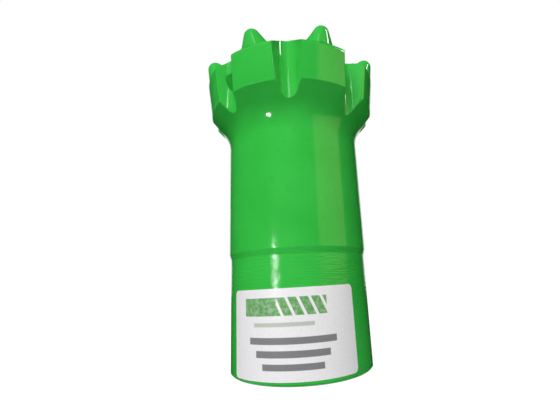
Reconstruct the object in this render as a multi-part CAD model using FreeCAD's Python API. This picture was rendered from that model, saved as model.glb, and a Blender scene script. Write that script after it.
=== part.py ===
import FreeCAD, Part
import math
import os

"""Threaded button drill bit for rock drilling: 102 mm across the gauge buttons, 170 mm long.

The steel body stands on the open end of its skirt, with the drilling face up. Z is the axis of the bit,
and the origin is the centre of the skirt's end face. One side groove lies at azimuth 0, the -Y side.
Each sub-part is one solid, written to parts/ as its own STEP file. All sizes are in millimetres.
"""

V = FreeCAD.Vector
AXIS = V(0, 0, 1)
ORIGIN = V(0, 0, 0)

# ---- driving dimensions -------------------------------------------------------------------------

# Skirt: the sleeve that screws on the rod, with its lower end turned down
skirt_diameter = 73.6
turned_diameter = 71.8
turned_length = 54.7
turned_bevel_length = 2.9
skirt_end_chamfer = 0.8
step_edge_round = 0.5

# Head: flares out of the skirt and ends in the drilling face, from which its heights are taken
face_height = 162.0
gauge_bevel_height = 5.5
gauge_face_height = 20.0
head_edge_diameter = 94.0
rim_diameter = 99.0
gauge_angle = 35.0
flare_angle = 49.0
flare_fillet = 20.0
head_edge_round = 0.6
rim_round = 2.4

# Side grooves between the lobes, which carry the cuttings away
groove_azimuths = (0.0, 92.0, 136.0, 180.0, 270.0, 315.5)
groove_bottom_radius = 41.1
groove_nose_radius = 5.2
groove_wall_angle = 31.0

# Flushing grooves: deeper than the others, with bevelled edges
flush_groove_azimuths = (47.5, 227.5)
flush_groove_bottom_radius = 39.2
flush_groove_bevel = 1.2

# Socket: a left-hand trapezoidal thread between two plain reliefs
thread_minor_diameter = 46.6
thread_depth = 2.2
thread_pitch = 16.0
thread_crest_width = 7.2
thread_flank_angle = 55.0
relief_diameter = 52.4
relief_lead_in = 2.0
mouth_length = 18.0
mouth_chamfer = 1.5
thread_length = 78.0
socket_depth = 112.0
socket_bottom_round = 2.0

# Flushing: one bore up the middle, holes to the face and to two side grooves, and channels on the face
flush_bore_diameter = 16.0
flush_bore_end_depth = 24.0
drill_point_angle = 118.0
face_hole_diameter = 10.0
face_hole_radius = 19.0
face_hole_tilt = 20.0
face_channel_width = 18.0
face_channel_rim_depth = 4.6
face_channel_slope = 10.6
side_hole_diameter = 9.5
side_hole_depth = 13.8
side_hole_tilt = 50.0
side_hole_azimuths = (136.0, 315.5)

# Gauge buttons: one on each lobe, square to the gauge bevel
gauge_button_diameter = 14.0
gauge_button_rise = 8.2
gauge_button_seat_depth = 13.0
gauge_button_seat_radius = 43.6
gauge_button_azimuths = (22.5, 73.5, 114.0, 158.0, 202.5, 250.0, 292.0, 337.5)

# Front buttons: an outer and an inner ring on the flat face
front_button_diameter = 13.0
front_button_rise = 8.0
front_button_seat_depth = 12.5
front_outer_count = 4
front_outer_radius = 24.0
front_outer_azimuth = 2.5
front_inner_count = 2
front_inner_radius = 9.6
front_inner_azimuth = 137.5

button_tip_radius = 4.2
button_foot_chamfer = 0.8
press_gap = 0.01

# Paper label wrapped on the turned end of the skirt
label_width = 62.5
label_height = 37.9
label_thickness = 0.15
label_azimuth = -5.5
label_bottom_height = 1.9
label_tilt = 0.65
label_corner_radius = 2.2
label_corner_points = 5

# ---- derived places -----------------------------------------------------------------------------

skirt_radius = skirt_diameter / 2
turned_radius = turned_diameter / 2
head_edge_radius = head_edge_diameter / 2
rim_radius = rim_diameter / 2
rim_height = face_height - gauge_bevel_height
head_edge_height = rim_height - gauge_face_height
face_radius = rim_radius - gauge_bevel_height / math.tan(math.radians(gauge_angle))
flare_rise = (head_edge_radius - skirt_radius) * math.tan(math.radians(flare_angle))
flare_root_height = head_edge_height - flare_rise
thread_minor_radius = thread_minor_diameter / 2
relief_radius = relief_diameter / 2
thread_start = mouth_length
thread_end = thread_start + thread_length


# ---- helpers ------------------------------------------------------------------------------------

def at(radius, azimuth, height):
    """The point at this radius, azimuth and height. Azimuth 0 is -Y and 90 is +X."""
    turn = math.radians(azimuth)
    return V(radius * math.sin(turn), -radius * math.cos(turn), height)


def turned(shape, azimuth):
    """The shape turned about the bit's axis from azimuth 0 to this azimuth."""
    copy = shape.copy()
    copy.rotate(ORIGIN, AXIS, azimuth)
    return copy


def ring(count, first_azimuth):
    """The azimuths of this many places spaced evenly round the axis."""
    return [first_azimuth + i * 360 / count for i in range(count)]


def rounded_outline(corners):
    """A closed wire through (x, z, rounding) corners in the XZ plane."""
    points = [V(x, 0, z) for x, z, _ in corners]
    edges, ends = [], []
    for i, (corner, (_, _, rounding)) in enumerate(zip(points, corners)):
        if not rounding:
            ends.append((corner, corner))
            continue
        back = (points[i - 1] - corner).normalize()
        ahead = (points[(i + 1) % len(points)] - corner).normalize()
        half = back.getAngle(ahead) / 2
        setback = rounding / math.tan(half)
        start, end = corner + back * setback, corner + ahead * setback
        middle = corner + (back + ahead).normalize() * (rounding / math.sin(half) - rounding)
        edges.append(Part.Arc(start, middle, end).toShape())
        ends.append((start, end))
    for i, (start, _) in enumerate(ends):
        left = ends[i - 1][1]
        if left.distanceToPoint(start) > 1e-7:
            edges.append(Part.makeLine(left, start))
    return Part.Wire(Part.__sortEdges__(edges))


def revolved(corners):
    """The solid that an outline of (radius, height, rounding) corners sweeps about the bit's axis."""
    return Part.Face(rounded_outline(corners)).revolve(ORIGIN, AXIS, 360)


# ---- buttons ------------------------------------------------------------------------------------

def make_button(diameter, rise, seat_depth):
    """A ballistic carbide button standing on Z, with its seat below height 0.

    A cone rises from the seat and meets the ball of the tip smoothly; its lean follows from the two.
    """
    radius = diameter / 2
    tip_height = rise - button_tip_radius
    lean = math.acos(button_tip_radius / math.hypot(radius, tip_height)) - math.atan2(tip_height, radius)
    joint_radius = button_tip_radius * math.cos(lean)
    joint_height = tip_height + button_tip_radius * math.sin(lean)
    middle = (lean + math.pi / 2) / 2
    tip_middle = V(math.cos(middle), 0, math.sin(middle)) * button_tip_radius + V(0, 0, tip_height)
    corners = [
        V(0, 0, rise),
        V(0, 0, -seat_depth),
        V(radius - button_foot_chamfer, 0, -seat_depth),
        V(radius, 0, button_foot_chamfer - seat_depth),
        V(radius, 0, 0),
        V(joint_radius, 0, joint_height),
    ]
    outline = [Part.makeLine(start, end) for start, end in zip(corners, corners[1:])]
    outline.append(Part.Arc(corners[-1], tip_middle, corners[0]).toShape())
    return Part.Face(Part.Wire(outline)).revolve(ORIGIN, AXIS, 360)


def placed(shape, seat, azimuth, tilt):
    """The shape leaned out from +Z by this tilt, with its origin at the seat point."""
    copy = shape.copy()
    copy.rotate(ORIGIN, V(1, 0, 0), tilt)
    copy.rotate(ORIGIN, AXIS, azimuth)
    copy.translate(seat)
    return copy


def gauge_seats():
    """(seat point, azimuth, tilt) of each gauge button: at the middle of its lobe, on the gauge bevel."""
    height = rim_height + (rim_radius - gauge_button_seat_radius) * math.tan(math.radians(gauge_angle))
    radius = gauge_button_seat_radius
    return [(at(radius, azimuth, height), azimuth, gauge_angle) for azimuth in gauge_button_azimuths]


def front_seats():
    """(seat point, azimuth, tilt) of each front button: the outer ring first, then the inner ring."""
    outer = [(front_outer_radius, azimuth) for azimuth in ring(front_outer_count, front_outer_azimuth)]
    inner = [(front_inner_radius, azimuth) for azimuth in ring(front_inner_count, front_inner_azimuth)]
    return [(at(radius, azimuth, face_height), azimuth, 0.0) for radius, azimuth in outer + inner]


def button_hole(diameter, seat_depth, seat, azimuth, tilt):
    """The drilled seat of one button, open upward past the steel around it."""
    hole = Part.makeCylinder(diameter / 2 + press_gap, seat_depth + diameter, V(0, 0, -seat_depth), AXIS)
    return placed(hole, seat, azimuth, tilt)


# ---- body ---------------------------------------------------------------------------------------

def make_blank():
    """The turned forging, still solid: skirt with its turned end, flare, head, gauge bevel and face."""
    return revolved([
        (0, 0, 0),
        (turned_radius - skirt_end_chamfer, 0, 0),
        (turned_radius, skirt_end_chamfer, 0),
        (turned_radius, turned_length, step_edge_round),
        (skirt_radius, turned_length + turned_bevel_length, step_edge_round),
        (skirt_radius, flare_root_height, flare_fillet),
        (head_edge_radius, head_edge_height, head_edge_round),
        (rim_radius, rim_height, rim_round),
        (face_radius, face_height, head_edge_round),
        (0, face_height, 0),
    ])


def make_flush_bore():
    """The drill of the middle bore, from the bottom of the socket up to its drill point."""
    radius = flush_bore_diameter / 2
    point = radius / math.tan(math.radians(drill_point_angle / 2))
    top = face_height - flush_bore_end_depth
    return revolved([
        (0, socket_depth - radius, 0),
        (radius, socket_depth - radius, 0),
        (radius, top - point, 0),
        (0, top, 0),
    ])


def make_socket_reliefs():
    """The two plain stretches turned wider than the thread: the mouth, and the room above the rod's end."""
    mouth = [
        (0, -mouth_chamfer, 0),
        (relief_radius + 2 * mouth_chamfer, -mouth_chamfer, 0),
        (relief_radius, mouth_chamfer, 0),
        (relief_radius, thread_start - relief_lead_in, 0),
        (thread_minor_radius, thread_start, 0),
        (0, thread_start, 0),
    ]
    bottom = [
        (0, thread_end, 0),
        (thread_minor_radius, thread_end, 0),
        (relief_radius, thread_end + relief_lead_in, 0),
        (relief_radius, socket_depth, socket_bottom_round),
        (0, socket_depth, 0),
    ]
    return [revolved(mouth), revolved(bottom)]


def groove_wall_start(bottom_radius):
    """(half width, radius) where the rounded nose of a groove at azimuth 0 meets its straight wall."""
    wall = math.radians(groove_wall_angle)
    nose_centre = bottom_radius + groove_nose_radius
    return groove_nose_radius * math.cos(wall), nose_centre - groove_nose_radius * math.sin(wall)


def make_groove(bottom_radius):
    """The cutter of a side groove at azimuth 0: a V with a rounded nose, run up through the head."""
    half_nose, nose_end = groove_wall_start(bottom_radius)
    run_out = rim_radius * 1.2
    half_mouth = half_nose + (run_out - nose_end) * math.tan(math.radians(groove_wall_angle))
    base = flare_root_height
    nose = V(0, -bottom_radius, base)
    corners = [
        V(half_nose, -nose_end, base),
        V(half_mouth, -run_out, base),
        V(-half_mouth, -run_out, base),
        V(-half_nose, -nose_end, base),
    ]
    section = [Part.makeLine(start, end) for start, end in zip(corners, corners[1:])]
    section.append(Part.Arc(corners[-1], nose, corners[0]).toShape())
    return Part.Face(Part.Wire(section)).extrude(V(0, 0, face_height + front_button_rise - base))


def groove_edge(bottom_radius, radius, height):
    """Where the +X wall of a groove at azimuth 0 comes out at this radius and height."""
    wall = math.radians(groove_wall_angle)
    half_nose, nose_end = groove_wall_start(bottom_radius)
    along = half_nose * math.sin(wall) + nose_end * math.cos(wall)
    reach = math.sqrt(along**2 - half_nose**2 - nose_end**2 + radius**2) - along
    return V(half_nose + reach * math.sin(wall), -nose_end - reach * math.cos(wall), height)


def make_edge_bevels(bottom_radius, size):
    """The cutters that bevel both edges of a groove at azimuth 0.

    The bevel is even up the gauge face, and down the flare it runs out where the rounded nose starts.
    """
    wall = math.radians(groove_wall_angle)
    nose_radius = math.hypot(*groove_wall_start(bottom_radius))
    nose_drop = (head_edge_radius - nose_radius) * math.tan(math.radians(flare_angle))
    corner = groove_edge(bottom_radius, head_edge_radius, head_edge_height)
    rim = groove_edge(bottom_radius, rim_radius, rim_height)
    nose = groove_edge(bottom_radius, nose_radius, head_edge_height - nose_drop)
    inner = corner + V(-math.sin(wall), math.cos(wall), 0) * size
    triangle = Part.makePolygon([inner, corner + V(size, 0, 0), corner + V(size, -2 * size, 0), inner])
    bevels = [
        Part.Face(triangle).extrude((rim - corner) * 1.5),
        Part.makeLoft([triangle, Part.Vertex(nose)], True, True),
    ]
    return bevels + [bevel.mirror(ORIGIN, V(1, 0, 0)) for bevel in bevels]


def make_thread_groove():
    """The left-hand helical groove of the socket's thread, run out into the reliefs at both ends."""
    inner = thread_minor_radius - thread_depth / 4
    root = thread_minor_radius + thread_depth
    flank = math.tan(math.radians(thread_flank_angle))
    half_mouth = (thread_pitch - thread_crest_width) / 2
    start = thread_start - thread_pitch / 2
    turns_height = thread_length + thread_pitch

    def corner(radius, side):
        return V(radius, 0, start + side * (half_mouth - (radius - thread_minor_radius) * flank))

    section = Part.makePolygon([
        corner(inner, -1),
        corner(root, -1),
        corner(root, 1),
        corner(inner, 1),
        corner(inner, -1),
    ])
    spine = Part.makeHelix(thread_pitch, turns_height, thread_minor_radius, 0, True)
    spine.translate(V(0, 0, start))
    sweep = Part.BRepOffsetAPI.MakePipeShell(Part.Wire(spine))
    sweep.setFrenetMode(True)
    sweep.add(section)
    sweep.build()
    sweep.makeSolid()
    return sweep.shape()


def make_flush_hole(diameter, mouth, tilt):
    """The drill of one slanted hole at azimuth 0, from the bit's axis out past its mouth."""
    lean = math.radians(tilt)
    along = V(0, -math.sin(lean), math.cos(lean))
    length = -mouth.y / math.sin(lean)
    return Part.makeCylinder(diameter / 2, length + diameter, mouth - along * length, along)


def make_flush_holes():
    """The drilled holes from the middle bore to the face and to the side grooves."""
    face_mouth = at(face_hole_radius, 0, face_height)
    side_mouth = at(groove_bottom_radius, 0, face_height - side_hole_depth)
    face_hole = make_flush_hole(face_hole_diameter, face_mouth, face_hole_tilt)
    side_hole = make_flush_hole(side_hole_diameter, side_mouth, side_hole_tilt)
    holes = [turned(face_hole, azimuth) for azimuth in flush_groove_azimuths]
    return holes + [turned(side_hole, azimuth) for azimuth in side_hole_azimuths]


def make_face_channel():
    """The cutter of the milled channel at azimuth 0, sloping from the face down to the flushing groove."""
    floor = V(-face_channel_width / 2, -rim_radius, face_height - face_channel_rim_depth)
    channel = Part.makeBox(face_channel_width, rim_radius - face_hole_radius, rim_radius, floor)
    channel.rotate(floor, V(1, 0, 0), face_channel_slope)
    return channel


def make_head_cuts():
    """Everything cut from the head's outside: grooves, bevels, channels and the button seats."""
    flushing = [make_groove(flush_groove_bottom_radius), make_face_channel()]
    flushing += make_edge_bevels(flush_groove_bottom_radius, flush_groove_bevel)
    cuts = [turned(make_groove(groove_bottom_radius), azimuth) for azimuth in groove_azimuths]
    cuts += [turned(cutter, azimuth) for cutter in flushing for azimuth in flush_groove_azimuths]
    cuts += [button_hole(gauge_button_diameter, gauge_button_seat_depth, *seat) for seat in gauge_seats()]
    cuts += [button_hole(front_button_diameter, front_button_seat_depth, *seat) for seat in front_seats()]
    return cuts


def make_body():
    """The steel body: the head first, then the socket's bore, its thread and its reliefs."""
    body = make_blank().cut(make_head_cuts() + make_flush_holes()).removeSplitter()
    body = body.cut(Part.makeCylinder(thread_minor_radius, socket_depth))
    body = body.cut(make_thread_groove())
    return body.cut(make_socket_reliefs() + [make_flush_bore()])


# ---- label --------------------------------------------------------------------------------------

def make_label():
    """The label: a rounded rectangle drawn flat, tilted, laid on the skirt and thickened outward."""
    skin = Part.Cylinder()
    skin.Radius = turned_radius
    half_width, half_height = label_width / 2, label_height / 2
    tilt = math.radians(label_tilt)
    middle_height = label_bottom_height + half_height
    middle_turn = math.radians(label_azimuth - 90)

    def wrapped(x, y):
        """A point of the flat label as the cylinder's own (angle, height)."""
        along = x * math.cos(tilt) - y * math.sin(tilt)
        up = x * math.sin(tilt) + y * math.cos(tilt)
        return FreeCAD.Base.Vector2d(middle_turn + along / turned_radius, middle_height + up)

    inner_x, inner_y = half_width - label_corner_radius, half_height - label_corner_radius
    arcs = []
    for quarter, (side_x, side_y) in enumerate(((1, 1), (-1, 1), (-1, -1), (1, -1))):
        arc = []
        for step in range(label_corner_points):
            turn = (quarter + step / (label_corner_points - 1)) * math.pi / 2
            x = side_x * inner_x + label_corner_radius * math.cos(turn)
            y = side_y * inner_y + label_corner_radius * math.sin(turn)
            arc.append(wrapped(x, y))
        arcs.append(arc)
    outline = []
    for i, arc in enumerate(arcs):
        corner = Part.Geom2d.BSplineCurve2d()
        corner.interpolate(arc)
        outline.append(corner.toShape(skin))
        outline.append(Part.Geom2d.Line2dSegment(arc[-1], arcs[(i + 1) % 4][0]).toShape(skin))
    face = Part.Face(skin, Part.Wire(outline))
    face.validate()
    return face.makeOffsetShape(label_thickness, 1e-4, fill=True)


# ---- sub-parts ----------------------------------------------------------------------------------

os.makedirs("parts", exist_ok=True)

parts = {"bit_body": make_body(), "label": make_label()}

gauge_button = make_button(gauge_button_diameter, gauge_button_rise, gauge_button_seat_depth)
for number, seat in enumerate(gauge_seats(), 1):
    parts[f"gauge_button_{number}"] = placed(gauge_button, *seat)

front_button = make_button(front_button_diameter, front_button_rise, front_button_seat_depth)
for number, seat in enumerate(front_seats(), 1):
    parts[f"front_button_{number}"] = placed(front_button, *seat)

for name, shape in parts.items():
    shape.exportStep(f"parts/{name}.step")
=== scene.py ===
# %% [markdown]
# # Button drill bit
# The real thing is a steel bit for drilling rock. A sleeve with a thread inside screws on the drill rod, a
# wider head carries rounded carbide buttons, and the whole bit has been dipped in glossy green enamel. A
# paper label is wrapped round its lower end. The exact solids come ready made from the CAD frame. They could
# be modelled again here, but then two versions of each size would exist, so this lesson leaves the shapes
# alone and is about finishes, light and the camera.

# %% Load the frame
import math

import bmesh
import bpy
from mathutils import Matrix, Vector


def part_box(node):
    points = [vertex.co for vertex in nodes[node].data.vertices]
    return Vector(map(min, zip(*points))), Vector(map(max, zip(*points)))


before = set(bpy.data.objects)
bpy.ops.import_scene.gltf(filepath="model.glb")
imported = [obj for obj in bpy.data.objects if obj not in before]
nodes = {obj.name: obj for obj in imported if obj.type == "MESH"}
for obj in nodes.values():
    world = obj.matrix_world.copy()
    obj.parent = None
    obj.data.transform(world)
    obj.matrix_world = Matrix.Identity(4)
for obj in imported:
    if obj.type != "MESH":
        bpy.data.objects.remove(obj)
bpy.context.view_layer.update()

print("nodes:", sorted(nodes))

# %% [markdown]
# ## Sizes used more than once
# Lengths are in metres, as in the frame. The finishes need to know where the turned end of the skirt stops
# and how far the label lies from the axis. What the frame can tell is measured from it, so that the finishes
# follow the part when it changes. The step between the turned end and the forging isn't a node of its own, so
# its height is written here.

# %% Measure the frame
body_low, body_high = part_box("bit_body")
label_low, label_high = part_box("label")
turned_radius = -label_low[1]
step_height = 0.0547
aim_point = Vector((0, 0, 0.08))
print("body from height", round(body_low[2], 4), "to", round(body_high[2], 4))
print("label radius", round(turned_radius, 4), "step height", step_height)

# %% [markdown]
# ## A kit for node trees
# Every finish here is a tree of shader nodes. Wired by hand, each node takes several lines, and the idea
# drowns in bookkeeping. This class adds a node in one line: an input that is given as a number is set on the
# socket, and one that is given as another node's output is linked. The methods below it are the steps that
# the finishes repeat. The same kit serves the materials and the world, because both own a node tree.

# %% Node kit
def rgb(red, green, blue):
    """An opaque colour in linear light."""
    return (red, green, blue, 1.0)


class NodeKit:
    """A node tree under construction. Calling it adds one node and returns that node."""

    def __init__(self, owner):
        self.owner = owner
        owner.use_nodes = True
        self.tree = owner.node_tree
        self.tree.nodes.clear()

    def __call__(self, kind, settings=None, **inputs):
        """Add a node. settings are its menu choices, and inputs its sockets by name, or by place as i0, i1."""
        node = self.tree.nodes.new(kind)
        for key, value in (settings or {}).items():
            setattr(node, key, value)
        for key, value in inputs.items():
            by_place = key[0] == "i" and key[1:].isdigit()
            self.feed(node.inputs[int(key[1:]) if by_place else key.replace("_", " ")], value)
        return node

    def feed(self, socket, value):
        """Link the value if it is another node's output, and set it if it is a number or a colour."""
        if isinstance(value, bpy.types.NodeSocket):
            self.tree.links.new(value, socket)
        else:
            socket.default_value = value

    def math(self, operation, a, b):
        """One arithmetic step, as a socket."""
        return self("ShaderNodeMath", {"operation": operation}, i0=a, i1=b).outputs[0]

    def times(self, a, b):
        """The product of two values, as a socket."""
        return self.math("MULTIPLY", a, b)

    def plus(self, a, b):
        """The sum of two values, as a socket."""
        return self.math("ADD", a, b)

    def ramp(self, value, low, high, start=0.0, end=1.0):
        """A smooth change from start to end while value goes from low to high."""
        node = self("ShaderNodeMapRange", {"interpolation_type": "SMOOTHSTEP"}, Value=value)
        for name, number in (("From Min", low), ("From Max", high), ("To Min", start), ("To Max", end)):
            node.inputs[name].default_value = number
        return node.outputs[0]

    def noise(self, place, scale, detail=3.0):
        """Cloudy noise with a grain of 1 / scale metres, from 0 to 1."""
        return self("ShaderNodeTexNoise", Vector=place, Scale=scale, Detail=detail).outputs[0]

    def mix(self, share, a, b):
        """Colour a turning into colour b as share goes from 0 to 1."""
        return self("ShaderNodeMix", {"data_type": "RGBA"}, i0=share, i6=a, i7=b).outputs[2]


print("node kit ready")

# %% [markdown]
# ## Green enamel: colour
# The enamel is a thick glossy paint. It looks like one flat green, but a dipped coat is never quite even: it
# is a little deeper where the paint pooled, a little lighter where it ran thin, and a few grains of dust are
# caught in it. An image could hold such marks, but it would have to be unwrapped round every groove. Noise
# that is read at each point's place in space needs no unwrapping, and it runs on through every edge.

# %% Enamel colour
enamel_deep = rgb(0.032, 0.475, 0.052)
enamel_light = rgb(0.042, 0.525, 0.066)
enamel_pooled = rgb(0.018, 0.36, 0.030)
enamel_dusty = rgb(0.16, 0.62, 0.18)
pooled_strength = 0.22
dust_strength = 0.35
dust_cells_per_metre = 210.0


def enamel_colour(paint, place, fine_clouds, dust):
    """The paint's green, with its clouds, its pooled spots and its grains of dust."""
    thin = paint.ramp(paint.noise(place, 38.0, detail=4.0), 0.3, 0.7)
    colour = paint.mix(thin, enamel_deep, enamel_light)
    pooled = paint.times(paint.ramp(fine_clouds, 0.60, 0.78), pooled_strength)
    colour = paint.mix(pooled, colour, enamel_pooled)
    return paint.mix(paint.times(dust, dust_strength), colour, enamel_dusty)


def dust_grains(paint, place):
    """1 on the few grains of dust. Each Voronoi cell has a place for one, and only few cells hold it."""
    cells = paint("ShaderNodeTexVoronoi", Vector=place, Scale=dust_cells_per_metre)
    grain = paint.ramp(cells.outputs["Distance"], 0.05, 0.10, 1.0, 0.0)
    cell_draw = paint("ShaderNodeSeparateColor", Color=cells.outputs["Color"]).outputs[0]
    return paint.times(grain, paint.ramp(cell_draw, 0.90, 0.93))


print("enamel greens:", enamel_deep[:3], "to", enamel_light[:3])

# %% [markdown]
# ## Green enamel: skin
# Gloss shows what colour hides. Paint on a forging follows its slow waves and dries with a fine orange-peel
# skin. On the lower end, which was turned on a lathe, it follows the fine turning marks instead, and those
# break a lamp's reflection into a tall, speckled streak. Real displacement would need millions of faces, so
# the skin is a height that only bends the light, through a Bump node. The turning marks are the same kind of
# noise with its X and Y squeezed, which draws every blot out round the bit.

# %% Enamel skin
peel_height = 0.10
wave_height = 1.1
turning_mark_height = 1.6
dust_height = 0.25
round_the_bit = (0.12, 0.12, 1.0)
step_blend = 0.004


def enamel_skin(paint, place, dust, forged):
    """The height of the paint's skin. forged scales how much of the rough forging shows through it."""
    height = paint("ShaderNodeSeparateXYZ", Vector=place).outputs["Z"]
    on_forging = paint.ramp(height, step_height, step_height + step_blend)
    on_turning = paint.math("SUBTRACT", 1.0, on_forging)

    peel = paint.times(paint.noise(place, 900.0, detail=2.0), peel_height)
    slow_waves = paint.times(paint.noise(place, 55.0, detail=2.0), wave_height * forged)
    squeezed = paint("ShaderNodeMapping", Vector=place, Scale=round_the_bit).outputs[0]
    turning_marks = paint.times(paint.noise(squeezed, 1300.0, detail=2.0), turning_mark_height)

    forged_skin = paint.times(paint.plus(peel, slow_waves), on_forging)
    turned_skin = paint.times(turning_marks, on_turning)
    return paint.plus(paint.plus(forged_skin, turned_skin), paint.times(dust, dust_height))


print("turning marks end at height", step_height)

# %% [markdown]
# ## Green enamel: the whole finish
# Colour and skin meet in one Principled shader. Paint rounds every edge of the steel below it. A Bevel node
# does that in the shading alone, without any new faces, and its result goes into the Bump node, which lays
# the skin over it. The roughness is low, for a hard gloss, and the fine clouds vary it, so that no reflection
# is quite clean.

# %% Enamel maker
painted_edge_radius = 0.0007
gloss_roughness = 0.07
gloss_unevenness = 0.08


def enamel(name, forged=1.0):
    """The green paint as a material. forged scales how much of the rough forging shows through it."""
    paint = NodeKit(bpy.data.materials.new(name))
    place = paint("ShaderNodeTexCoord").outputs["Object"]
    fine_clouds = paint.noise(place, 260.0)
    dust = dust_grains(paint, place)
    skin = enamel_skin(paint, place, dust, forged)
    rounded = paint("ShaderNodeBevel", Radius=painted_edge_radius).outputs[0]
    bump = paint("ShaderNodeBump", Strength=0.35, Distance=0.0004, Height=skin, Normal=rounded)
    shader = paint(
        "ShaderNodeBsdfPrincipled",
        Base_Color=enamel_colour(paint, place, fine_clouds, dust),
        Roughness=paint.plus(paint.times(fine_clouds, gloss_unevenness), gloss_roughness),
        Normal=bump.outputs[0],
        IOR=1.46,
        Specular_IOR_Level=0.5,
    )
    paint("ShaderNodeOutputMaterial", Surface=shader.outputs[0])
    return paint.owner


print("enamel maker ready")

# %% [markdown]
# ## Painting the bit
# The steel and the carbide wear the same paint, because the bit is dipped whole. A button is ground smooth
# before it is pressed in, so less roughness shows through the coat there. One material could serve both, but
# two from the same maker keep that difference, and either may be changed alone.

# %% Paint the steel and the buttons
def dress(node, material):
    """Give a node of the frame this one material."""
    node.data.materials.clear()
    node.data.materials.append(material)


body_enamel = enamel("green_enamel_on_steel")
button_enamel = enamel("green_enamel_on_carbide", forged=0.35)
for name, node in nodes.items():
    if name != "label":
        dress(node, button_enamel if "button" in name else body_enamel)
print("painted", sum(name != "label" for name in nodes), "nodes")

# %% [markdown]
# ## Paper label: where a point of it lies
# The label is coated white paper, bent round the turned end. Its print could be an image, but a drawn rule
# stays sharp at any distance and can be moved by one number. Flat artwork would smear on bent paper, so the
# tree first unrolls the skirt: the angle round the axis times the radius is the distance along the paper, and
# the height is the distance up it. The label was stuck on slightly crooked, and that tilt is taken out too.

# %% Unrolled paper coordinates
label_middle_azimuth = math.radians(-5.5)
label_middle_height = (label_low[2] + label_high[2]) / 2
label_tilt = math.radians(0.65)
millimetres_per_metre = 1000.0


def paper_coordinates(paper, place):
    """(along, up) sockets in millimetres from the label's middle."""
    parts = paper("ShaderNodeSeparateXYZ", Vector=place).outputs
    angle = paper.math("ARCTAN2", parts["X"], paper.times(parts["Y"], -1.0))
    turned = paper.math("SUBTRACT", angle, label_middle_azimuth)
    raised = paper.math("SUBTRACT", parts["Z"], label_middle_height)
    along = paper.times(turned, turned_radius * millimetres_per_metre)
    up = paper.times(raised, millimetres_per_metre)
    level_along = paper.plus(along, paper.times(up, math.sin(label_tilt)))
    level_up = paper.math("SUBTRACT", up, paper.times(along, math.sin(label_tilt)))
    return level_along, level_up


print("label middle height", round(label_middle_height, 4))

# %% [markdown]
# ## Paper label: printed fields
# All print on the label is made of plain fields of colour. A field could be cut out as a piece of its own,
# but ink has no thickness. So each is drawn in the paper's colour as an upright rectangle: a ramp for each of
# its four sides, multiplied together, gives 1 inside it and 0 outside, with edges as soft as ink on paper.

# %% Printed field
ink_edge = 0.12


def printed_field(paper, along, up, left, right, bottom, top):
    """1 inside an upright rectangle and 0 outside it. Its sides are in millimetres."""
    past_left = paper.ramp(along, left - ink_edge, left + ink_edge)
    before_right = paper.ramp(along, right - ink_edge, right + ink_edge, 1.0, 0.0)
    above_bottom = paper.ramp(up, bottom - ink_edge, bottom + ink_edge)
    below_top = paper.ramp(up, top - ink_edge, top + ink_edge, 1.0, 0.0)
    return paper.times(paper.times(past_left, before_right), paper.times(above_bottom, below_top))


print("printed edges are soft over", 2 * ink_edge, "mm")

# %% [markdown]
# ## Paper label: the print
# It shows a green band with a solid end and slanted stripes, a thin green rule below it, and three dark
# rules, each shorter than the last. The stripes could be drawn one by one. Instead, one PINGPONG step folds
# the distance along the paper to and fro, and part of the height is added to that distance first, so that
# they lean. Where the green was printed thin, the paper's own noise shows through as wear.

# %% Label print
green_ink = rgb(0.10, 0.36, 0.075)
faded_green_ink = rgb(0.30, 0.40, 0.27)
dark_ink = rgb(0.055, 0.055, 0.06)
paper_shade = rgb(0.84, 0.825, 0.84)
paper_white = rgb(0.89, 0.875, 0.885)
faded_strength = 0.62
dark_strength = 0.80
stripe_width = 2.6
stripe_lean = 0.45
solid_end_right = -6.0

# Left, right, bottom and top of each field, in millimetres from the label's middle.
green_band = (-22.8, 16.6, 7.4, 15.1)
thin_rule = (-17.6, 10.6, 2.9, 4.6)
dark_rules = ((-20.2, 20.4, -4.3, -1.5), (-16.7, 17.0, -9.6, -6.8), (-13.6, 13.9, -14.6, -12.0))


def band_ink(paper, place, along, up):
    """Ink of the green band: solid at its left end, striped beyond it, and worn thin in spots."""
    leaned = paper.plus(along, paper.times(up, stripe_lean))
    stripes = paper.ramp(paper.math("PINGPONG", leaned, stripe_width), 0.55, 0.85)
    solid_end = paper.ramp(along, solid_end_right - 0.2, solid_end_right, 1.0, 0.0)
    wear = paper.ramp(paper.noise(place, 700.0, detail=4.0), 0.30, 0.62, 0.72, 1.0)
    band = printed_field(paper, along, up, *green_band)
    return paper.times(paper.times(band, paper.math("MAXIMUM", stripes, solid_end)), wear)


def label_colour(paper, place):
    """The colour of the paper with all its print."""
    along, up = paper_coordinates(paper, place)
    fibre = paper.noise(place, 1400.0)
    sheet = paper.mix(paper.ramp(fibre, 0.3, 0.7), paper_shade, paper_white)
    colour = paper.mix(band_ink(paper, place, along, up), sheet, green_ink)
    faded = paper.times(printed_field(paper, along, up, *thin_rule), faded_strength)
    colour = paper.mix(faded, colour, faded_green_ink)
    dark_print = 0.0
    for rule in dark_rules:
        dark_print = paper.math("MAXIMUM", dark_print, printed_field(paper, along, up, *rule))
    return paper.mix(paper.times(dark_print, dark_strength), colour, dark_ink)


print("fields of colour on the label:", 2 + len(dark_rules))

# %% [markdown]
# ## Paper label: the sheet
# Coated paper is satin: it is far rougher than the enamel, and its shine is weaker. Loose fibres at its
# surface catch light from the side. A lighter colour could stand in for them, but it would lighten the middle
# too, so a little sheen keeps the label bright only where it bends away. A slow, low bump stands for the
# small creases of a label that was laid on by hand.

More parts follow.
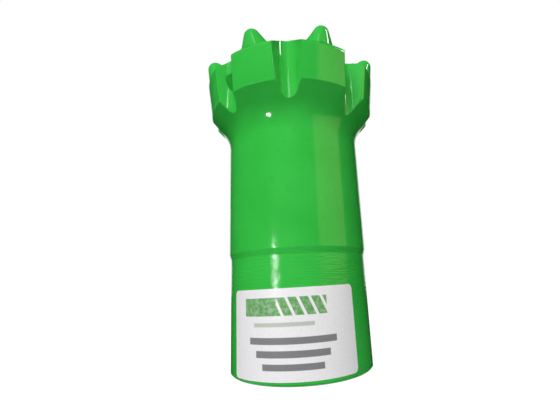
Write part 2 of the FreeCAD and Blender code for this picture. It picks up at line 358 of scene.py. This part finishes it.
# %% Label material
paper = NodeKit(bpy.data.materials.new("printed_label_paper"))
paper_place = paper("ShaderNodeTexCoord").outputs["Object"]
creases = paper.noise(paper_place, 120.0)
paper_bump = paper("ShaderNodeBump", Strength=0.25, Distance=0.0003, Height=creases)
paper_shader = paper(
    "ShaderNodeBsdfPrincipled",
    Base_Color=label_colour(paper, paper_place),
    Roughness=0.34,
    Normal=paper_bump.outputs[0],
    Specular_IOR_Level=0.35,
    Sheen_Weight=0.5,
    Sheen_Roughness=0.5,
)
paper("ShaderNodeOutputMaterial", Surface=paper_shader.outputs[0])
dress(nodes["label"], paper.owner)
print("label printed")

# %% [markdown]
# ## Floor
# The bit stands on a plain white sheet that has no visible end. A curved backdrop would do, but the world
# behind the floor is the same white, so a flat disc is enough. Lit by the lamps alone, white paper would turn
# grey with distance. So for the rays that show it, the floor is mostly lit by itself, and the rest of it is
# matt. It lies a hair below the bit, so that the two never share a plane.

# %% Floor disc
floor_radius = 3.0
floor_drop = 0.0001
floor_glow = 1.25
floor_glow_share = 0.82


def seen_directly(kit):
    """1 for rays that show a thing, straight or through gloss or glass, and 0 for those that light one."""
    rays = kit("ShaderNodeLightPath").outputs
    seen = kit.math("MAXIMUM", rays["Is Camera Ray"], rays["Is Glossy Ray"])
    return kit.math("MAXIMUM", seen, rays["Is Transmission Ray"])


ground = NodeKit(bpy.data.materials.new("white_floor_paper"))
matt = ground("ShaderNodeBsdfDiffuse", Color=rgb(0.5, 0.5, 0.5))
glow = ground("ShaderNodeEmission", Color=rgb(1, 1, 1), Strength=floor_glow)
glow_share = ground.times(seen_directly(ground), floor_glow_share)
floor_mix = ground("ShaderNodeMixShader", i0=glow_share, i1=matt.outputs[0], i2=glow.outputs[0])
ground("ShaderNodeOutputMaterial", Surface=floor_mix.outputs[0])

floor_mesh = bpy.data.meshes.new("studio_floor")
floor_shape = bmesh.new()
bmesh.ops.create_circle(floor_shape, cap_ends=True, radius=floor_radius, segments=96)
floor_shape.to_mesh(floor_mesh)
floor_shape.free()
floor_mesh.materials.append(ground.owner)
floor = bpy.data.objects.new("studio_floor", floor_mesh)
floor.location.z = -floor_drop
bpy.context.collection.objects.link(floor)
print("floor radius", floor_radius)

# %% [markdown]
# ## World
# The world is white where it is seen, so the bit stands before a clean background. For the rays that light
# the bit it is a dim, slightly cool grey. One white world for both would be simpler, but it would light the
# bit evenly from all sides and take the form out of it. The Light Path node tells the two kinds of ray apart.

# %% World
world = bpy.data.worlds.new("white_surround")
bpy.context.scene.world = world
sky = NodeKit(world)
dim = sky("ShaderNodeBackground", Color=rgb(0.92, 0.95, 1.0), Strength=0.22)
white = sky("ShaderNodeBackground", Color=rgb(1, 1, 1), Strength=1.0)
choice = sky("ShaderNodeMixShader", i0=seen_directly(sky), i1=dim.outputs[0], i2=white.outputs[0])
sky("ShaderNodeOutputWorld", Surface=choice.outputs[0])
print("world ready")

# %% [markdown]
# ## Lamps
# On glossy paint a lamp does two jobs: it lights the colour, and it shows as a reflection. One lamp can't be
# set for both, so here the jobs are split. Three large soft panels light the bit: the key from high in front,
# a weaker fill at the bit's own height, and a faint warm one from the right. They don't show in the gloss.
# Three small lamps only show there: the sparkle on the neck with the streak below the step, the thin lines in
# the grooves, and the glints on the right-hand side.

# %% Lamp maker
def around(azimuth, elevation, distance):
    """A place at this azimuth (0 is the front, 90 the right) and elevation in degrees from the bit."""
    turn, rise = math.radians(azimuth), math.radians(elevation)
    level = distance * math.cos(rise)
    return aim_point + Vector((level * math.sin(turn), -level * math.cos(turn), distance * math.sin(rise)))


def panel(name, place, size, power, tint=(1, 1, 1), shown=False):
    """A rectangular lamp aimed at the bit. It either lights the bit softly, or only shows in its gloss."""
    light = bpy.data.lights.new(name, "AREA")
    light.shape = "RECTANGLE"
    light.size, light.size_y = size
    light.energy = power
    light.color = tint
    lamp = bpy.data.objects.new(name, light)
    lamp.location = place
    lamp.rotation_euler = (aim_point - place).to_track_quat("-Z", "Y").to_euler()
    lamp.visible_glossy = shown
    lamp.visible_diffuse = not shown
    bpy.context.collection.objects.link(lamp)


print("lamps aim at", tuple(round(number, 3) for number in aim_point))

# %% Hang the lamps
panel("key_panel", around(-20, 46, 1.2), size=(0.9, 0.7), power=11.6)
panel("fill_panel", around(-12, 10, 1.6), size=(1.2, 0.5), power=6.4)
panel("warm_side_panel", around(70, 8, 1.6), size=(1.0, 0.5), power=0.9, tint=(1.0, 0.86, 0.62))
panel("sparkle_lamp", around(-34.4, 0, 0.45), size=(0.034, 0.034), power=0.5, shown=True)
panel("overhead_lamp", around(-4, 33, 1.4), size=(0.05, 0.16), power=0.8, shown=True)
panel("window_lamp", around(77, 37, 1.6), size=(0.22, 0.30), power=6.0, shown=True)

# %% [markdown]
# ## Cards
# With white all around, glossy paint turns milky. In a studio, black cloth is hung beside such an object, so
# that its colour stays deep up to the edges. On the right the cloth leaves a warm, softly lit wall in view,
# which draws the pale upright band down the bit. Dark cards close the rest, with the floor and the ceiling,
# and only a gap behind the bit stays white. Real walls could stand there, but they would block the lamps, so
# only reflections see these.

# %% Card maker
def card(name, start, end, inner, outer, cloth):
    """A curved screen between two azimuths in degrees, which only reflections see. inner and outer are the
    (radius, height) of its two long edges, so it may stand upright or lie flat."""
    steps = 24
    points, faces = [], []
    for i in range(steps + 1):
        turn = math.radians(start + (end - start) * i / steps)
        for radius, height in (inner, outer):
            points.append((radius * math.sin(turn), -radius * math.cos(turn), height))
    for a in range(0, 2 * steps, 2):
        faces.append((a, a + 2, a + 3, a + 1))
    mesh = bpy.data.meshes.new(name)
    mesh.from_pydata(points, [], faces)
    mesh.materials.append(cloth)
    screen = bpy.data.objects.new(name, mesh)
    bpy.context.collection.objects.link(screen)
    screen.visible_camera = screen.visible_diffuse = screen.visible_shadow = False
    screen.visible_transmission = False


dark = NodeKit(bpy.data.materials.new("dark_cloth"))
dark_shader = dark("ShaderNodeBsdfDiffuse", Color=rgb(0.02, 0.02, 0.02))
dark("ShaderNodeOutputMaterial", Surface=dark_shader.outputs[0])
warm = NodeKit(bpy.data.materials.new("warm_lit_wall"))
warm_glow = warm("ShaderNodeEmission", Color=rgb(1.0, 0.80, 0.36), Strength=1.0)
warm("ShaderNodeOutputMaterial", Surface=warm_glow.outputs[0])
print("cloths:", dark.owner.name, warm.owner.name)

# %% Hang the cards
card_radius = 2.4
floor_card_height = 0.0005
warm_wall_height = 1.5
ceiling_height = 2.6
left_end, warm_wall_start, warm_wall_end, right_end = -150, 37, 88, 150

foot = (card_radius, 0.0)
warm_wall_top = (card_radius, warm_wall_height)
top = (card_radius, ceiling_height)
card("card_front_left", left_end, warm_wall_start, foot, top, dark.owner)
card("card_warm_wall", warm_wall_start, warm_wall_end, foot, warm_wall_top, warm.owner)
card("card_above_wall", warm_wall_start, warm_wall_end, warm_wall_top, top, dark.owner)
card("card_right", warm_wall_end, right_end, foot, top, dark.owner)
card("card_floor", -180, 180, (0.0, floor_card_height), (card_radius, floor_card_height), dark.owner)
card("card_ceiling", -180, 180, (0.0, ceiling_height), top, dark.owner)

# %% [markdown]
# ## Camera
# The camera stands close, a little above the label, and looks up at the head, which makes the skirt look long
# and the head spread. A constraint could aim it, but that leaves no say over the roll. So it is turned,
# tilted and rolled in that order, as on a tripod. The small lens shift moves the bit in the frame without
# turning the camera.

# %% Camera
camera_place = (0.004567, -0.188472, 0.040924)
camera_turn = math.radians(1.388) - 0.030
camera_tilt = 0.244
camera_roll = -0.049

camera_data = bpy.data.cameras.new("camera")
camera_data.sensor_width = 36.0
camera_data.lens = 21.64
camera_data.shift_x = -0.04495
camera_data.shift_y = 0.00085
camera_data.clip_start = 0.01
camera = bpy.data.objects.new("camera", camera_data)
turn = Matrix.Rotation(camera_turn, 4, "Z")
tilt = Matrix.Rotation(math.pi / 2 + camera_tilt, 4, "X")
roll = Matrix.Rotation(camera_roll, 4, "Z")
camera.matrix_world = Matrix.Translation(camera_place) @ turn @ tilt @ roll
bpy.context.collection.objects.link(camera)
scene = bpy.context.scene
scene.camera = camera
scene.view_settings.view_transform = "Standard"
print("camera at", tuple(round(number, 4) for number in camera.location))
